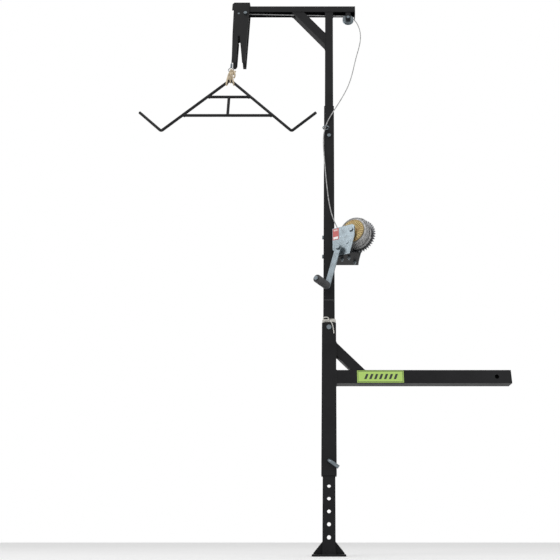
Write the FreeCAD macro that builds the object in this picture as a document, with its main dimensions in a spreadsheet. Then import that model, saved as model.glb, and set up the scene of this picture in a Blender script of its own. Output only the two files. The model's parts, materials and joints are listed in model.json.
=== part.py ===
"""Gambrel hoist that mounts on a 2 inch truck receiver, as a parametric FreeCAD document.

Frame: the origin is the centre of the foot plate's underside and the mast stands along +Z.
The boom points along -X, the receiver bar along +X, and the winch crank faces -Y.
All sizes are in millimetres. The driving sizes are in the sheet named Sizes.
"""
import FreeCAD, Part
import Sketcher
import math
import os
import re

doc = FreeCAD.newDocument("gambrel_hoist")
Vector = FreeCAD.Vector
Rotation = FreeCAD.Rotation
Placement = FreeCAD.Placement
X_AXIS = Vector(1, 0, 0)
Y_AXIS = Vector(0, 1, 0)
Z_AXIS = Vector(0, 0, 1)

# ---------------------------------------------------------------- driving sizes
DIMENSIONS = {
    # foot and leg
    "foot_side": 115, "foot_thick": 6, "foot_corner": 6,
    "gusset_rise": 40, "gusset_reach": 31, "gusset_thick": 5,
    "leg_side": 45, "tube_wall": 3, "leg_top": 420,
    "adjust_first": 59, "adjust_pitch": 42, "adjust_count": 9, "pin_bore_radius": 6.75,
    # lower mast, receiver bar and its brace
    "lower_side": 55, "lower_wall": 4, "lower_start": 261, "lower_end": 830,
    "bar_side": 50.8, "bar_wall": 5, "bar_height": 617, "bar_end": 687,
    "bar_hole_radius": 8, "bar_hole_inset": 55,
    "lower_brace_side": 38, "lower_brace_leg": 111.6, "brace_wall": 3,
    "label_start": 106, "label_length": 175, "label_tall": 46, "label_thick": 0.6,
    # pins
    "pin_radius": 6.35, "pin_height": 311, "pin_bend": 12, "pin_handle": 42, "pin_slant": 55,
    "clip_wire_radius": 1.5, "post_pin_height": 812,
    # swivel
    "post_start": 700, "swivel_height": 928, "flange_thick": 2, "bush_low": 868,
    "spigot_radius": 15, "bush_bore_radius": 15.06, "bush_clear": 0.1, "plug_tall": 55,
    # middle and top masts
    "middle_side": 45, "middle_end": 1876, "top_side": 38, "top_start": 1640,
    "mast_bolt_height": 1712, "bolt_radius": 5, "bolt_hole_radius": 5.1,
    "frame_bolt_long": 60,
    "eye_height": 1743, "eye_left": 14, "eye_radius": 13, "eye_wire": 2.5, "eye_stand": 16,
    "hex_radius": 9, "hex_thick": 6, "nut_thick": 8,
    # boom and head
    "boom_under": 2453, "boom_tall": 36, "boom_wide": 38, "boom_wall": 3,
    "boom_left": 466, "boom_right": 125, "cap_thick": 4, "cap_drop": 14,
    "upper_brace_reach": 163, "upper_brace_drop": 209, "upper_brace_inner": 106,
    "slot_wide": 12, "slot_deep": 20,
    "head_plate_thick": 5, "head_left": 478, "head_right": 392, "head_top": 2508,
    "head_step": 2460, "head_neck": 470, "head_tip": 2130, "notch_top": 2283, "head_chamfer": 10,
    "right_prong_outer": 396, "right_prong_inner": 411, "left_prong_inner": 446,
    "left_prong_outer": 460, "prong_bevel": 12, "notch_right": 430, "notch_left": 439,
    "notch_eye_radius": 7, "notch_eye_left": 434.5, "head_cap_thick": 3,
    # pulleys and cable
    "cable_radius": 2.2, "cable_gap": 0.1, "sheave_left": 444, "sheave_height": 2437,
    "sheave_rim": 22, "sheave_groove": 18, "rear_pulley_right": 94, "rear_pulley_height": 2418,
    "rear_pulley_rim": 27, "rear_pulley_groove": 22, "pulley_wide": 12, "axle_radius": 5,
    "pulley_bore_radius": 5.06, "head_bolt_left": 411, "cable_end_height": 2140,
    "ferrule_long": 22, "ferrule_radius": 5, "eye_ring": 12, "cable_leaves": 40,
    "guided_left": 18, "guided_stand": 11, "cheek_wide": 24, "cheek_tall": 62, "cheek_rise": 18,
    "cheek_thick": 3, "axle_hex_radius": 8, "axle_hex_thick": 5,
    # winch, in its own frame: origin at the drum's centre, turned about the mast's axis
    "winch_right": 109, "winch_forward": 42, "winch_height": 1212, "winch_turn": 28,
    "frame_half": 44, "frame_wall": 3, "frame_base": 107, "frame_left": 84, "frame_right": 16,
    "frame_top": 22, "frame_chamfer": 8, "frame_knee": 30, "frame_heel": 72,
    "frame_foot_right": 8, "frame_foot_left": 62, "base_bolt_radius": 4, "base_bore_radius": 4.2,
    "base_bolt_long": 20, "base_hex_radius": 7,
    "sticker_left": 82, "sticker_wide": 27, "sticker_low": 32, "sticker_tall": 51,
    "pawl_right": 28, "pawl_rise": 24, "pawl_front": 38, "pawl_thick": 5,
    "ratchet_teeth": 12, "ratchet_tip": 19, "ratchet_root": 14, "ratchet_thick": 5,
    "gear_teeth": 41, "pinion_teeth": 11, "gear_module": 3.5, "crank_left": 47,
    "gear_front": 27, "gear_thick": 8, "spool_radius": 20, "spool_flange": 50, "coil_radius": 63,
    "drum_axle_radius": 6, "drum_bore_radius": 6.06, "shaft_radius": 8, "shaft_bore_radius": 8.06,
    "arm_front": 67, "arm_thick": 6, "arm_length": 167, "arm_slant": 17.4,
    "arm_hub_radius": 16, "arm_hub_half": 13, "arm_end_radius": 12, "crank_hex_radius": 12,
    "grip_radius": 16, "grip_length": 84, "grip_axle_radius": 4, "grip_bore_radius": 4.06,
    "grip_ribs": 7, "grip_rib_pitch": 10, "grip_groove": 1.6, "axle_head_thick": 3,
    "shelf_low": 1100, "shelf_thick": 5, "shelf_right": 122, "shelf_front": 88, "shelf_back": 26,
    "shelf_nose": 47, "shelf_slant": 22, "bracket_top": 1240,
    "bracket_bolt_rise": 3, "bracket_bolt_drop": 85,
    # gambrel
    "rod_radius": 6.5, "apex_left": 464, "apex_height": 2044, "hook_drop": 290, "hook_out": 295,
    "tip_out": 404, "tip_rise": 102, "upper_bar_drop": 99, "lower_bar_drop": 204,
    "rod_bend": 9, "rope_radius": 4.5, "sling_half": 12, "sling_drop": 19, "sling_clear": 1.2,
}
BRACKET_BOLT_LEVELS = ("winch_height + bracket_bolt_rise", "winch_height - bracket_bolt_drop")
BASE_BOLT_PLACES = ((-50, -24), (-20, -24), (-18, 26))  # in the winch's own frame
RATCHET_RAKE = 0.85  # how far round its pitch each ratchet tooth falls to the root

sheet = doc.addObject("Spreadsheet::Sheet", "Sizes")
for row, (alias, value) in enumerate(DIMENSIONS.items(), start=1):
    sheet.set(f"A{row}", alias.replace("_", " "))
    sheet.set(f"B{row}", str(value))
    sheet.setAlias(f"B{row}", alias)
doc.recompute()


def size(alias):
    """The number that the sheet holds under this alias."""
    return float(sheet.get(alias))


def bind(item, prop, formula):
    """Bind a property to a formula written in the sheet's aliases."""
    def named(found):
        word = found.group(0)
        return "Sizes." + word if word in DIMENSIONS else word
    item.setExpression(prop, re.sub(r"[a-z_]+", named, formula))


# ---------------------------------------------------------------- modelling helpers
sub_parts = {}


def sub_part(item, name):
    """Register a finished sub-part under the name of its file."""
    item.Label = name
    sub_parts[name] = item
    return item


def new_body(name):
    body = doc.addObject("PartDesign::Body", name + "_body")
    return sub_part(body, name)


def new_sketch(body, plane, offset="0"):
    """A sketch on one of the body's origin planes, moved along that plane's normal."""
    sketch = body.newObject("Sketcher::SketchObject", "sketch")
    origin_plane = [item for item in body.Origin.OriginFeatures if item.Role == plane][0]
    sketch.AttachmentSupport = [(origin_plane, "")]
    sketch.MapMode = "FlatFace"
    bind(sketch, "AttachmentOffset.Base.z", offset)
    return sketch


def fix_point(sketch, geometry, point, across, up):
    """Hold a sketch point at two formulas, measured from the sketch's origin."""
    for kind, formula in (("DistanceX", across), ("DistanceY", up)):
        index = sketch.addConstraint(Sketcher.Constraint(kind, -1, 1, geometry, point, 1.0))
        bind(sketch, f"Constraints[{index}]", formula)


def add_outline(sketch, corners):
    """A closed outline of straight sides through corners given as pairs of formulas."""
    count = len(corners)
    start_index = sketch.GeometryCount
    ring = [Vector(math.cos(2 * math.pi * i / count), math.sin(2 * math.pi * i / count), 0)
            for i in range(count)]
    for i in range(count):
        sketch.addGeometry(Part.LineSegment(ring[i], ring[(i + 1) % count]), False)
    for i in range(count):
        following = start_index + (i + 1) % count
        sketch.addConstraint(Sketcher.Constraint("Coincident", start_index + i, 2, following, 1))
    for i, (across, up) in enumerate(corners):
        fix_point(sketch, start_index + i, 1, across, up)


def add_circle(sketch, radius, across="0", up="0"):
    index = sketch.addGeometry(Part.Circle(Vector(0, 0, 0), Z_AXIS, 1.0), False)
    constraint = sketch.addConstraint(Sketcher.Constraint("Radius", index, 1.0))
    bind(sketch, f"Constraints[{constraint}]", radius)
    fix_point(sketch, index, 3, across, up)


def rectangle(width, height, across="0", up="0"):
    """Corner formulas of a rectangle about a centre."""
    left, right = f"{across} - ({width}) / 2", f"{across} + ({width}) / 2"
    low, high = f"{up} - ({height}) / 2", f"{up} + ({height}) / 2"
    return [(left, low), (right, low), (right, high), (left, high)]


def pad(body, sketch, length, both_ways=False):
    feature = body.newObject("PartDesign::Pad", "pad")
    feature.Profile = sketch
    feature.Midplane = both_ways
    bind(feature, "Length", length)
    return feature


def drill(body, plane, holes):
    """Round holes right through the body, square to a plane: (radius, across, up) each."""
    sketch = new_sketch(body, plane)
    for radius, across, up in holes:
        add_circle(sketch, radius, across, up)
    return cut_through(body, sketch)


def cut_through(body, sketch):
    feature = body.newObject("PartDesign::Pocket", "pocket")
    feature.Profile = sketch
    feature.Type = "ThroughAll"
    feature.Midplane = True
    return feature


def square_tube(name, plane, side, wall, start, end, across="0", up="0"):
    """A square tube from start to end along the plane's normal."""
    body = new_body(name)
    sketch = new_sketch(body, plane, start)
    add_outline(sketch, rectangle(side, side, across, up))
    add_outline(sketch, rectangle(f"{side} - 2 * {wall}", f"{side} - 2 * {wall}", across, up))
    pad(body, sketch, f"{end} - ({start})")
    return body


def plate(name, plane, corners, start, thickness, holes=()):
    """A flat piece with an outline of straight sides and round holes."""
    body = new_body(name)
    sketch = new_sketch(body, plane, start)
    add_outline(sketch, corners)
    for radius, across, up in holes:
        add_circle(sketch, radius, across, up)
    pad(body, sketch, thickness)
    return body


def revolved(name, outline):
    """A solid of revolution about Z from (radius, height) formulas."""
    body = new_body(name)
    sketch = new_sketch(body, "XZ_Plane")
    add_outline(sketch, outline)
    feature = body.newObject("PartDesign::Revolution", "revolution")
    feature.Profile = sketch
    feature.ReferenceAxis = (sketch, ["V_Axis"])
    feature.Angle = 360
    return body


def facing(direction, place):
    """Placement that takes the local +Z to a direction and the origin to a place."""
    return Placement(place, Rotation(Z_AXIS, direction))


def around(radius, angle):
    """Formulas of the point at a radius and an angle in radians."""
    return f"({radius}) * {math.cos(angle):.6f}", f"({radius}) * {math.sin(angle):.6f}"


def hexagon(radius):
    return [around(radius, math.radians(60 * i)) for i in range(6)]


def bolt(name, radius, length, head_radius, head_thick, placement):
    """A hex bolt: the head lies below the local origin and the shank runs along +Z."""
    body = new_body(name)
    head = new_sketch(body, "XY_Plane", f"-({head_thick})")
    add_outline(head, hexagon(head_radius))
    pad(body, head, head_thick)
    shank = new_sketch(body, "XY_Plane")
    add_circle(shank, radius)
    pad(body, shank, length)
    body.Placement = placement
    return body


def nut(name, bore, outer, thick, placement):
    """A hex nut standing on the local origin, along +Z."""
    body = plate(name, "XY_Plane", hexagon(outer), "0", thick, [(bore, "0", "0")])
    body.Placement = placement
    return body


def shaped(name, shape, placement=None):
    """A free-form piece whose shape is made directly from sheet sizes."""
    item = doc.addObject("Part::Feature", name + "_shape")
    item.Shape = shape
    if placement:
        item.Placement = placement
    return sub_part(item, name)


def bent_path(points, bend_radius):
    """A wire through the points, with an arc of one radius at every inner corner."""
    edges = []
    start = points[0]
    for before, corner, after in zip(points, points[1:], points[2:]):
        back = (before - corner).normalize()
        ahead = (after - corner).normalize()
        half_angle = back.getAngle(ahead) / 2
        run = bend_radius / math.tan(half_angle)
        middle_way = (back + ahead).normalize()
        centre = corner + middle_way * (bend_radius / math.sin(half_angle))
        arc_start = corner + back * run
        arc_end = corner + ahead * run
        edges.append(Part.makeLine(start, arc_start))
        edges.append(Part.Arc(arc_start, centre - middle_way * bend_radius, arc_end).toShape())
        start = arc_end
    edges.append(Part.makeLine(start, points[-1]))
    return Part.Wire(edges)


def rod_along(path, radius):
    """A round rod along a wire, as a closed solid."""
    first = path.OrderedEdges[0]
    start = first.valueAt(first.FirstParameter)
    heading = first.tangentAt(first.FirstParameter)
    section = Part.Wire([Part.makeCircle(radius, start, heading)])
    return path.makePipeShell([section], True, True)


# ---------------------------------------------------------------- foot, leg and lower mast
def build_foot():
    body = new_body("foot_plate")
    sketch = new_sketch(body, "XY_Plane")
    add_outline(sketch, rectangle("foot_side", "foot_side"))
    pad(body, sketch, "foot_thick")
    gussets = []
    for name, sign in (("gusset_left", "-"), ("gusset_right", "")):
        gusset = doc.addObject("PartDesign::Body", name)
        face = new_sketch(gusset, "XZ_Plane")
        inner = f"{sign}leg_side / 2"
        outer = f"{sign}(leg_side / 2 + gusset_reach)"
        corners = [(inner, "foot_thick"), (outer, "foot_thick"), (outer, "foot_thick + 4"),
                   (inner, "foot_thick + gusset_rise")]
        add_outline(face, corners)
        pad(gusset, face, "gusset_thick", both_ways=True)
        gussets.append(gusset)
    group = doc.addObject("Part::Compound", "gusset_pair")
    group.Links = gussets
    sub_part(group, "foot_gussets")


def build_leg():
    body = square_tube("leg_tube", "XY_Plane", "leg_side", "tube_wall", "foot_thick", "leg_top")
    count = int(size("adjust_count"))
    holes = [("pin_bore_radius", "0", f"adjust_first + {i} * adjust_pitch") for i in range(count)]
    drill(body, "XZ_Plane", holes)


def build_lower_mast():
    body = square_tube("lower_mast", "XY_Plane", "lower_side", "lower_wall",
                       "lower_start", "lower_end")
    drill(body, "XZ_Plane", [("pin_bore_radius", "0", "pin_height"),
                             ("pin_bore_radius", "0", "post_pin_height")])


def build_hitch_bar():
    body = square_tube("hitch_bar", "YZ_Plane", "bar_side", "bar_wall", "lower_side / 2",
                       "bar_end", "0", "bar_height")
    drill(body, "XZ_Plane", [("bar_hole_radius", "bar_end - bar_hole_inset", "bar_height")])


def mitred_tube(name, side, wall, outer, inner):
    """A square tube lying in the XZ plane with both ends cut to meet its neighbours."""
    body = new_body(name)
    sketch = new_sketch(body, "XZ_Plane")
    add_outline(sketch, outer)
    pad(body, sketch, side, both_ways=True)
    hollow = new_sketch(body, "XZ_Plane")
    add_outline(hollow, inner)
    pocket = body.newObject("PartDesign::Pocket", "hollow")
    pocket.Profile = hollow
    pocket.Midplane = True
    bind(pocket, "Length", f"{side} - 2 * {wall}")
    return body


def build_lower_brace():
    face = "lower_side / 2"
    deck = "bar_height + bar_side / 2"
    long_leg = "lower_brace_leg"
    short_leg = "(lower_brace_leg - lower_brace_side * sqrt(2))"
    skin = "brace_wall * sqrt(2)"
    outer = [(face, f"{deck} + {long_leg}"), (face, f"{deck} + {short_leg}"),
             (f"{face} + {short_leg}", deck), (f"{face} + {long_leg}", deck)]
    inner = [(face, f"{deck} + {long_leg} - {skin}"), (face, f"{deck} + {short_leg} + {skin}"),
             (f"{face} + {short_leg} + {skin}", deck), (f"{face} + {long_leg} - {skin}", deck)]
    mitred_tube("bar_brace", "lower_brace_side", "brace_wall", outer, inner)


def build_label():
    corners = rectangle("label_length", "label_tall", "label_start + label_length / 2", "bar_height")
    plate("bar_label", "XZ_Plane", corners, "bar_side / 2", "label_thick")


def hitch_pin_path():
    """The pin's shank lies along Y and its handle hangs along -Z before it is slanted."""
    front = -(size("lower_side") / 2 + 6 + size("pin_bend"))
    back = size("lower_side") / 2 + 20
    return bent_path([Vector(0, back, 0), Vector(0, front, 0),
                      Vector(0, front, -size("pin_handle"))], size("pin_bend"))


def hairpin(wire, shank):
    """A hairpin clip: one straight leg through the pin and one leg that hugs it."""
    hug = shank + wire + 0.4
    path = bent_path([Vector(-20, 0, 0), Vector(22, 0, 0), Vector(22, hug, 0),
                      Vector(-14, hug, 0)], 3.5)
    return rod_along(path, wire)


def build_pins():
    radius = size("pin_radius")
    wire = size("clip_wire_radius")
    clip_at = size("lower_side") / 2 + 12
    slant = Rotation(Y_AXIS, -size("pin_slant"))
    pin = rod_along(hitch_pin_path(), radius)
    eye = Part.makeCylinder(wire + 0.15, 4 * radius, Vector(-2 * radius, clip_at, 0), X_AXIS)
    height = Vector(0, 0, size("pin_height"))
    shaped("hitch_pin", pin.cut(eye), Placement(height, slant))
    clip_place = Placement(Vector(0, clip_at, 0), Rotation(X_AXIS, 90))
    shaped("hitch_pin_clip", hairpin(wire, radius),
           Placement(height, slant).multiply(clip_place))
    shank = Part.makeCylinder(radius, size("lower_side") + 26,
                              Vector(0, -size("lower_side") / 2 - 3, 0), Y_AXIS)
    head = Part.makeCylinder(radius + 3, 3, Vector(0, -size("lower_side") / 2 - 3, 0), Y_AXIS)
    head = head.makeFillet(1, [head.Edges[0]])
    upper_height = Vector(0, 0, size("post_pin_height"))
    shaped("post_pin", shank.fuse(head).removeSplitter().cut(eye), Placement(upper_height, Rotation()))
    shaped("post_pin_clip", hairpin(wire, radius),
           Placement(upper_height, Rotation()).multiply(clip_place))


def build_lanyard():
    """Cord wound twice round the swivel post above the lower mast, with a hanging tail."""
    wire = 2
    half = size("leg_side") / 2 + wire + 0.8
    loops = []
    for level in (wire + 0.1, 3 * wire + 0.2):
        height = size("lower_end") + level
        ring = [Vector(half, half, height), Vector(-half, half, height),
                Vector(-half, -half, height), Vector(half, -half, height)]
        middle = Vector(0, half, height)
        path = bent_path([middle] + ring[1:] + [ring[0], middle], 3)
        loops.append(rod_along(path, wire))
    front = -(size("lower_side") / 2 + wire + 0.6)
    height = size("lower_end")
    tail = bent_path([Vector(10, front, height + 8), Vector(17, front, height - 14),
                      Vector(20, front, height - 46)], 20)
    shaped("lanyard_cord", Part.makeCompound(loops + [rod_along(tail, wire)]))


# ---------------------------------------------------------------- swivel and masts
def build_swivel():
    post = square_tube("swivel_post", "XY_Plane", "leg_side", "tube_wall", "post_start",
                       "swivel_height - flange_thick")
    drill(post, "XZ_Plane", [("pin_bore_radius", "0", "post_pin_height")])

    bush = new_body("swivel_bush")
    inner = "leg_side - 2 * tube_wall - 2 * bush_clear"
    sleeve = new_sketch(bush, "XY_Plane", "bush_low")
    add_outline(sleeve, rectangle(inner, inner))
    pad(bush, sleeve, "swivel_height - bush_low - flange_thick")
    flange = new_sketch(bush, "XY_Plane", "swivel_height - flange_thick")
    add_outline(flange, rectangle("leg_side", "leg_side"))
    pad(bush, flange, "flange_thick")
    drill(bush, "XY_Plane", [("bush_bore_radius", "0", "0")])

    spigot = new_body("swivel_spigot")
    shank = new_sketch(spigot, "XY_Plane", "bush_low - 1")
    add_circle(shank, "spigot_radius")
    pad(spigot, shank, "swivel_height - bush_low + 1.2")
    plug = new_sketch(spigot, "XY_Plane", "swivel_height + 0.2")
    add_outline(plug, rectangle("middle_side - 2 * tube_wall", "middle_side - 2 * tube_wall"))
    pad(spigot, plug, "plug_tall")
    drill(spigot, "XY_Plane", [("bolt_hole_radius", "0", "0")])

    plate("spigot_washer", "XY_Plane", rectangle("spigot_radius * 1.7", "spigot_radius * 1.7"),
                   "bush_low - 6", "5", [("bolt_hole_radius", "0", "0")])
    low = size("bush_low") - 6
    bolt("spigot_bolt", "bolt_radius", "swivel_height - bush_low + plug_tall + 14", "hex_radius", "hex_thick",
         facing(Z_AXIS, Vector(0, 0, low)))
    top = size("swivel_height") + 0.2 + size("plug_tall")
    nut("spigot_nut", "bolt_hole_radius", "hex_radius", "nut_thick", facing(Z_AXIS, Vector(0, 0, top)))


def cut_cable_slot(body):
    """A slot just under the boom that lets the cable pass along inside it."""
    slot = new_sketch(body, "YZ_Plane")
    add_outline(slot, rectangle("slot_wide", "2 * slot_deep", "0", "boom_under"))
    cut_through(body, slot)


def build_masts():
    middle = square_tube("middle_mast", "XY_Plane", "middle_side", "tube_wall",
                         "swivel_height + 0.2", "middle_end")
    drill(middle, "XZ_Plane", [("bolt_hole_radius", "0", "mast_bolt_height")])
    drill(middle, "YZ_Plane", [("bolt_hole_radius", "0", level) for level in BRACKET_BOLT_LEVELS])
    top = square_tube("top_mast", "XY_Plane", "top_side", "tube_wall", "top_start", "boom_under")
    drill(top, "XZ_Plane", [("bolt_hole_radius", "0", "mast_bolt_height")])
    cut_cable_slot(top)
    front = Vector(0, -size("middle_side") / 2, size("mast_bolt_height"))
    back = Vector(0, size("middle_side") / 2, size("mast_bolt_height"))
    bolt("mast_bolt", "bolt_radius", "frame_bolt_long", "hex_radius", "hex_thick",
         facing(Y_AXIS, front))
    nut("mast_nut", "bolt_hole_radius", "hex_radius", "nut_thick", facing(Y_AXIS, back))


def build_guide_eye():
    """A wire ring on a short stem that leads the cable down the mast's front."""
    face = -size("middle_side") / 2
    centre = Vector(-size("eye_left"), face - size("eye_stand"), size("eye_height"))
    ring = Part.makeTorus(size("eye_radius"), size("eye_wire"), centre, Z_AXIS)
    stem_length = size("eye_stand") - size("eye_radius")
    stem = Part.makeCylinder(size("eye_wire"), stem_length,
                             Vector(centre.x, face - stem_length, centre.z), Y_AXIS)
    shaped("guide_eye", ring.fuse(stem))


# ---------------------------------------------------------------- boom and head
def build_boom():
    body = new_body("boom_channel")
    section = new_sketch(body, "YZ_Plane", "-boom_left")
    half = "boom_wide / 2"
    inner = "(boom_wide / 2 - boom_wall)"
    top = "boom_under + boom_tall"
    add_outline(section, [(f"-{half}", "boom_under"), (f"-{half}", top), (half, top),
                          (half, "boom_under"), (inner, "boom_under"), (inner, f"{top} - boom_wall"),
                          (f"-{inner}", f"{top} - boom_wall"), (f"-{inner}", "boom_under")])
    pad(body, section, "boom_left + boom_right")
    tall = "boom_tall + cap_drop"
    plate("boom_end_plate", "YZ_Plane",
          rectangle("boom_wide", tall, "0", f"boom_under + boom_tall - ({tall}) / 2"),
          "boom_right", "cap_thick")


def build_upper_brace():
    face = "-top_side / 2"
    deck = "boom_under"
    reach, drop, near = "upper_brace_reach", "upper_brace_drop", "upper_brace_inner"
    slope = "upper_brace_drop / upper_brace_reach"
    fall = f"brace_wall * sqrt(1 + ({slope}) * ({slope}))"
    run = f"brace_wall * sqrt(1 + 1 / (({slope}) * ({slope})))"
    outer = [(f"{face} - {reach}", deck), (face, f"{deck} - {drop}"),
             (face, f"{deck} - {near} * {slope}"), (f"{face} - {near}", deck)]
    inner = [(f"{face} - {reach} + {run}", deck), (face, f"{deck} - {drop} + {fall}"),
             (face, f"{deck} - {near} * {slope} - {fall}"), (f"{face} - {near} - {run}", deck)]
    cut_cable_slot(mitred_tube("boom_brace", "boom_wide", "brace_wall", outer, inner))


def build_head():
    """Two forked plates clasp the boom's end; the gambrel's rod locks in their notches."""
    corners = [("-head_left", "head_step"), ("-head_left", "head_top - head_chamfer"),
               ("-head_left + head_chamfer", "head_top"), ("-head_right", "head_top"),
               ("-head_right", "head_step"), ("-right_prong_outer", "head_tip"),
               ("-right_prong_inner", "head_tip"), ("-notch_right", "notch_top"),
               ("-notch_left", "notch_top"), ("-notch_left - 1", "head_tip + prong_bevel"),
               ("-left_prong_inner", "head_tip"), ("-left_prong_outer", "head_tip"),
               ("-head_neck + 3", "notch_top + 30"), ("-head_neck", "head_step")]
    plates = []
    for name, start in (("head_plate_front", "boom_wide / 2"),
                        ("head_plate_rear", "-boom_wide / 2 - head_plate_thick")):
        body = plate(name, "XZ_Plane", corners, start, "head_plate_thick")
        plates.append(body)
        drill(body, "XZ_Plane", [("notch_eye_radius", "-notch_eye_left", "notch_top + 4"),
                                 ("bolt_hole_radius", "-head_bolt_left", "sheave_height"),
                                 ("bolt_hole_radius", "-sheave_left", "sheave_height")])
    group_parts("head_plates", plates)
    front = -(size("boom_wide") / 2 + size("head_plate_thick"))
    place = Vector(-size("head_bolt_left"), front, size("sheave_height"))
    bolt("head_bolt", "bolt_radius", "frame_bolt_long", "hex_radius", "hex_thick",
         facing(Y_AXIS, place))
    nut("head_nut", "bolt_hole_radius", "hex_radius", "nut_thick",
        facing(Y_AXIS, Vector(place.x, -front, place.z)))
    cap = rectangle("head_left - head_right - head_chamfer", "boom_wide",
                    "-(head_left + head_right - head_chamfer) / 2")
    plate("head_cap", "XY_Plane", cap, "head_top - head_cap_thick", "head_cap_thick")


def build_pulley(name, rim, groove, across, height):
    half = "pulley_wide / 2"
    body = revolved(name, [("pulley_bore_radius", f"-{half}"), (rim, f"-{half}"),
                           (rim, "-cable_radius - 2.2"), (groove, "-cable_radius - 0.3"),
                           (groove, "cable_radius + 0.3"), (rim, "cable_radius + 2.2"),
                           (rim, half), ("pulley_bore_radius", half)])
    body.Placement = facing(Y_AXIS, Vector(across, 0, height))


def build_pulleys():
    build_pulley("head_sheave", "sheave_rim", "sheave_groove", -size("sheave_left"),
                 size("sheave_height"))
    build_pulley("rear_pulley", "rear_pulley_rim", "rear_pulley_groove",
                 size("rear_pulley_right"), size("rear_pulley_height"))
    half = size("boom_wide") / 2 + size("head_plate_thick")
    sheave = Vector(-size("sheave_left"), -half, size("sheave_height"))
    shaped("sheave_pin", Part.makeCylinder(size("axle_radius"), 2 * half, sheave, Y_AXIS))

    cheeks = []
    corners = rectangle("cheek_wide", "cheek_tall", "rear_pulley_right",
                        "rear_pulley_height + cheek_rise")
    for name, start in (("cheek_front", "boom_wide / 2 - boom_wall - cheek_thick"),
                        ("cheek_rear", "-boom_wide / 2 + boom_wall")):
        cheeks.append(plate(name, "XZ_Plane", corners, start, "cheek_thick",
                            [("bolt_hole_radius", "rear_pulley_right", "rear_pulley_height")]))
    group_parts("pulley_cheeks", cheeks)
    inner = size("boom_wide") / 2 - size("boom_wall")
    front = Vector(size("rear_pulley_right"), -inner, size("rear_pulley_height"))
    bolt("rear_axle", "bolt_radius", "boom_wide + 6", "axle_hex_radius", "axle_hex_thick",
         facing(Y_AXIS, front))
    nut("rear_axle_nut", "bolt_hole_radius", "axle_hex_radius", "hex_thick",
        facing(Y_AXIS, Vector(front.x, inner, front.z)))


# ---------------------------------------------------------------- winch
def winch_placement(x=0.0, y=0.0, z=0.0, rotation=Rotation()):
    """A place in the winch's own frame, turned about the vertical to the crank's heading."""
    base = Placement(Vector(size("winch_right"), -size("winch_forward"), size("winch_height")),
                     Rotation(Z_AXIS, -size("winch_turn")))
    return base.multiply(Placement(Vector(x, y, z), rotation))


def crank_offset():
    """The crank shaft's place from the drum's centre, at the gears' centre distance."""
    distance = size("gear_module") * (size("gear_teeth") + size("pinion_teeth")) / 2
    left = size("crank_left")
    return -left, -math.sqrt(distance ** 2 - left ** 2)


AHEAD = Rotation(X_AXIS, -90)  # takes local +Z to the winch's +Y


def toothed_wheel(name, teeth, bore, thick, first_angle):
    """A spur gear with straight-sided teeth, padded along local +Z; one tooth at first_angle."""
    module = size("gear_module")
    pitch_radius = module * size(teeth) / 2
    root = pitch_radius - 1.25 * module
    tip = pitch_radius + 0.9 * module
    body = new_body(name)
    disc = new_sketch(body, "XY_Plane")
    add_circle(disc, f"gear_module * ({teeth} / 2 - 1.25)")
    add_circle(disc, bore)
    pad(body, disc, thick)
    tooth = new_sketch(body, "XY_Plane")
    root_half = 0.27 * math.pi * module
    tip_half = 0.10 * math.pi * module
    along = Vector(math.cos(first_angle), math.sin(first_angle), 0)
    aside = Vector(-along.y, along.x, 0)
    corners = [along * (root - 1) - aside * root_half, along * root - aside * root_half,
               along * tip - aside * tip_half, along * tip + aside * tip_half,
               along * root + aside * root_half, along * (root - 1) + aside * root_half]
    add_outline(tooth, [(f"{corner.x:.6f}", f"{corner.y:.6f}") for corner in corners])
    first = pad(body, tooth, thick)
    pattern = body.newObject("PartDesign::PolarPattern", "teeth")
    pattern.Originals = [first]
    pattern.Axis = (tooth, ["N_Axis"])
    pattern.Angle = 360
    pattern.Occurrences = int(size(teeth))
    body.Tip = pattern
    return body


def build_winch_frame():
    left, down = crank_offset()
    body = new_body("winch_frame")
    sketch = new_sketch(body, "XZ_Plane")
    add_outline(sketch, [("-frame_left", "frame_top"), ("frame_right - frame_chamfer", "frame_top"),
                         ("frame_right", "frame_top - frame_chamfer"),
                         ("frame_right", "-frame_knee"), ("-frame_foot_right", "-frame_base"),
                         ("-frame_foot_left", "-frame_base"), ("-frame_left", "-frame_heel")])
    pad(body, sketch, "2 * frame_half", both_ways=True)
    inside = new_sketch(body, "YZ_Plane")
    add_outline(inside, [("-frame_half + frame_wall", "-frame_base + frame_wall"),
                         ("frame_half - frame_wall", "-frame_base + frame_wall"),
                         ("frame_half - frame_wall", "2 * frame_top"),
                         ("-frame_half + frame_wall", "2 * frame_top")])
    cut_through(body, inside)
    drill(body, "XZ_Plane", [("drum_axle_radius + 0.1", "0", "0"),
                             ("shaft_bore_radius", f"{left:.6f}", f"{down:.6f}"),
                             ("grip_bore_radius", f"{left:.6f} + pawl_right",
                              f"{down:.6f} + pawl_rise")])
    drill(body, "XY_Plane", [("base_bore_radius", str(x), str(y)) for x, y in BASE_BOLT_PLACES])
    body.Placement = winch_placement()

    corners = rectangle("sticker_wide", "sticker_tall", "-sticker_left + sticker_wide / 2",
                        "-sticker_low + sticker_tall / 2")
    sticker = plate("winch_sticker", "XZ_Plane", corners, "frame_half", "label_thick")
    sticker.Placement = winch_placement()


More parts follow.
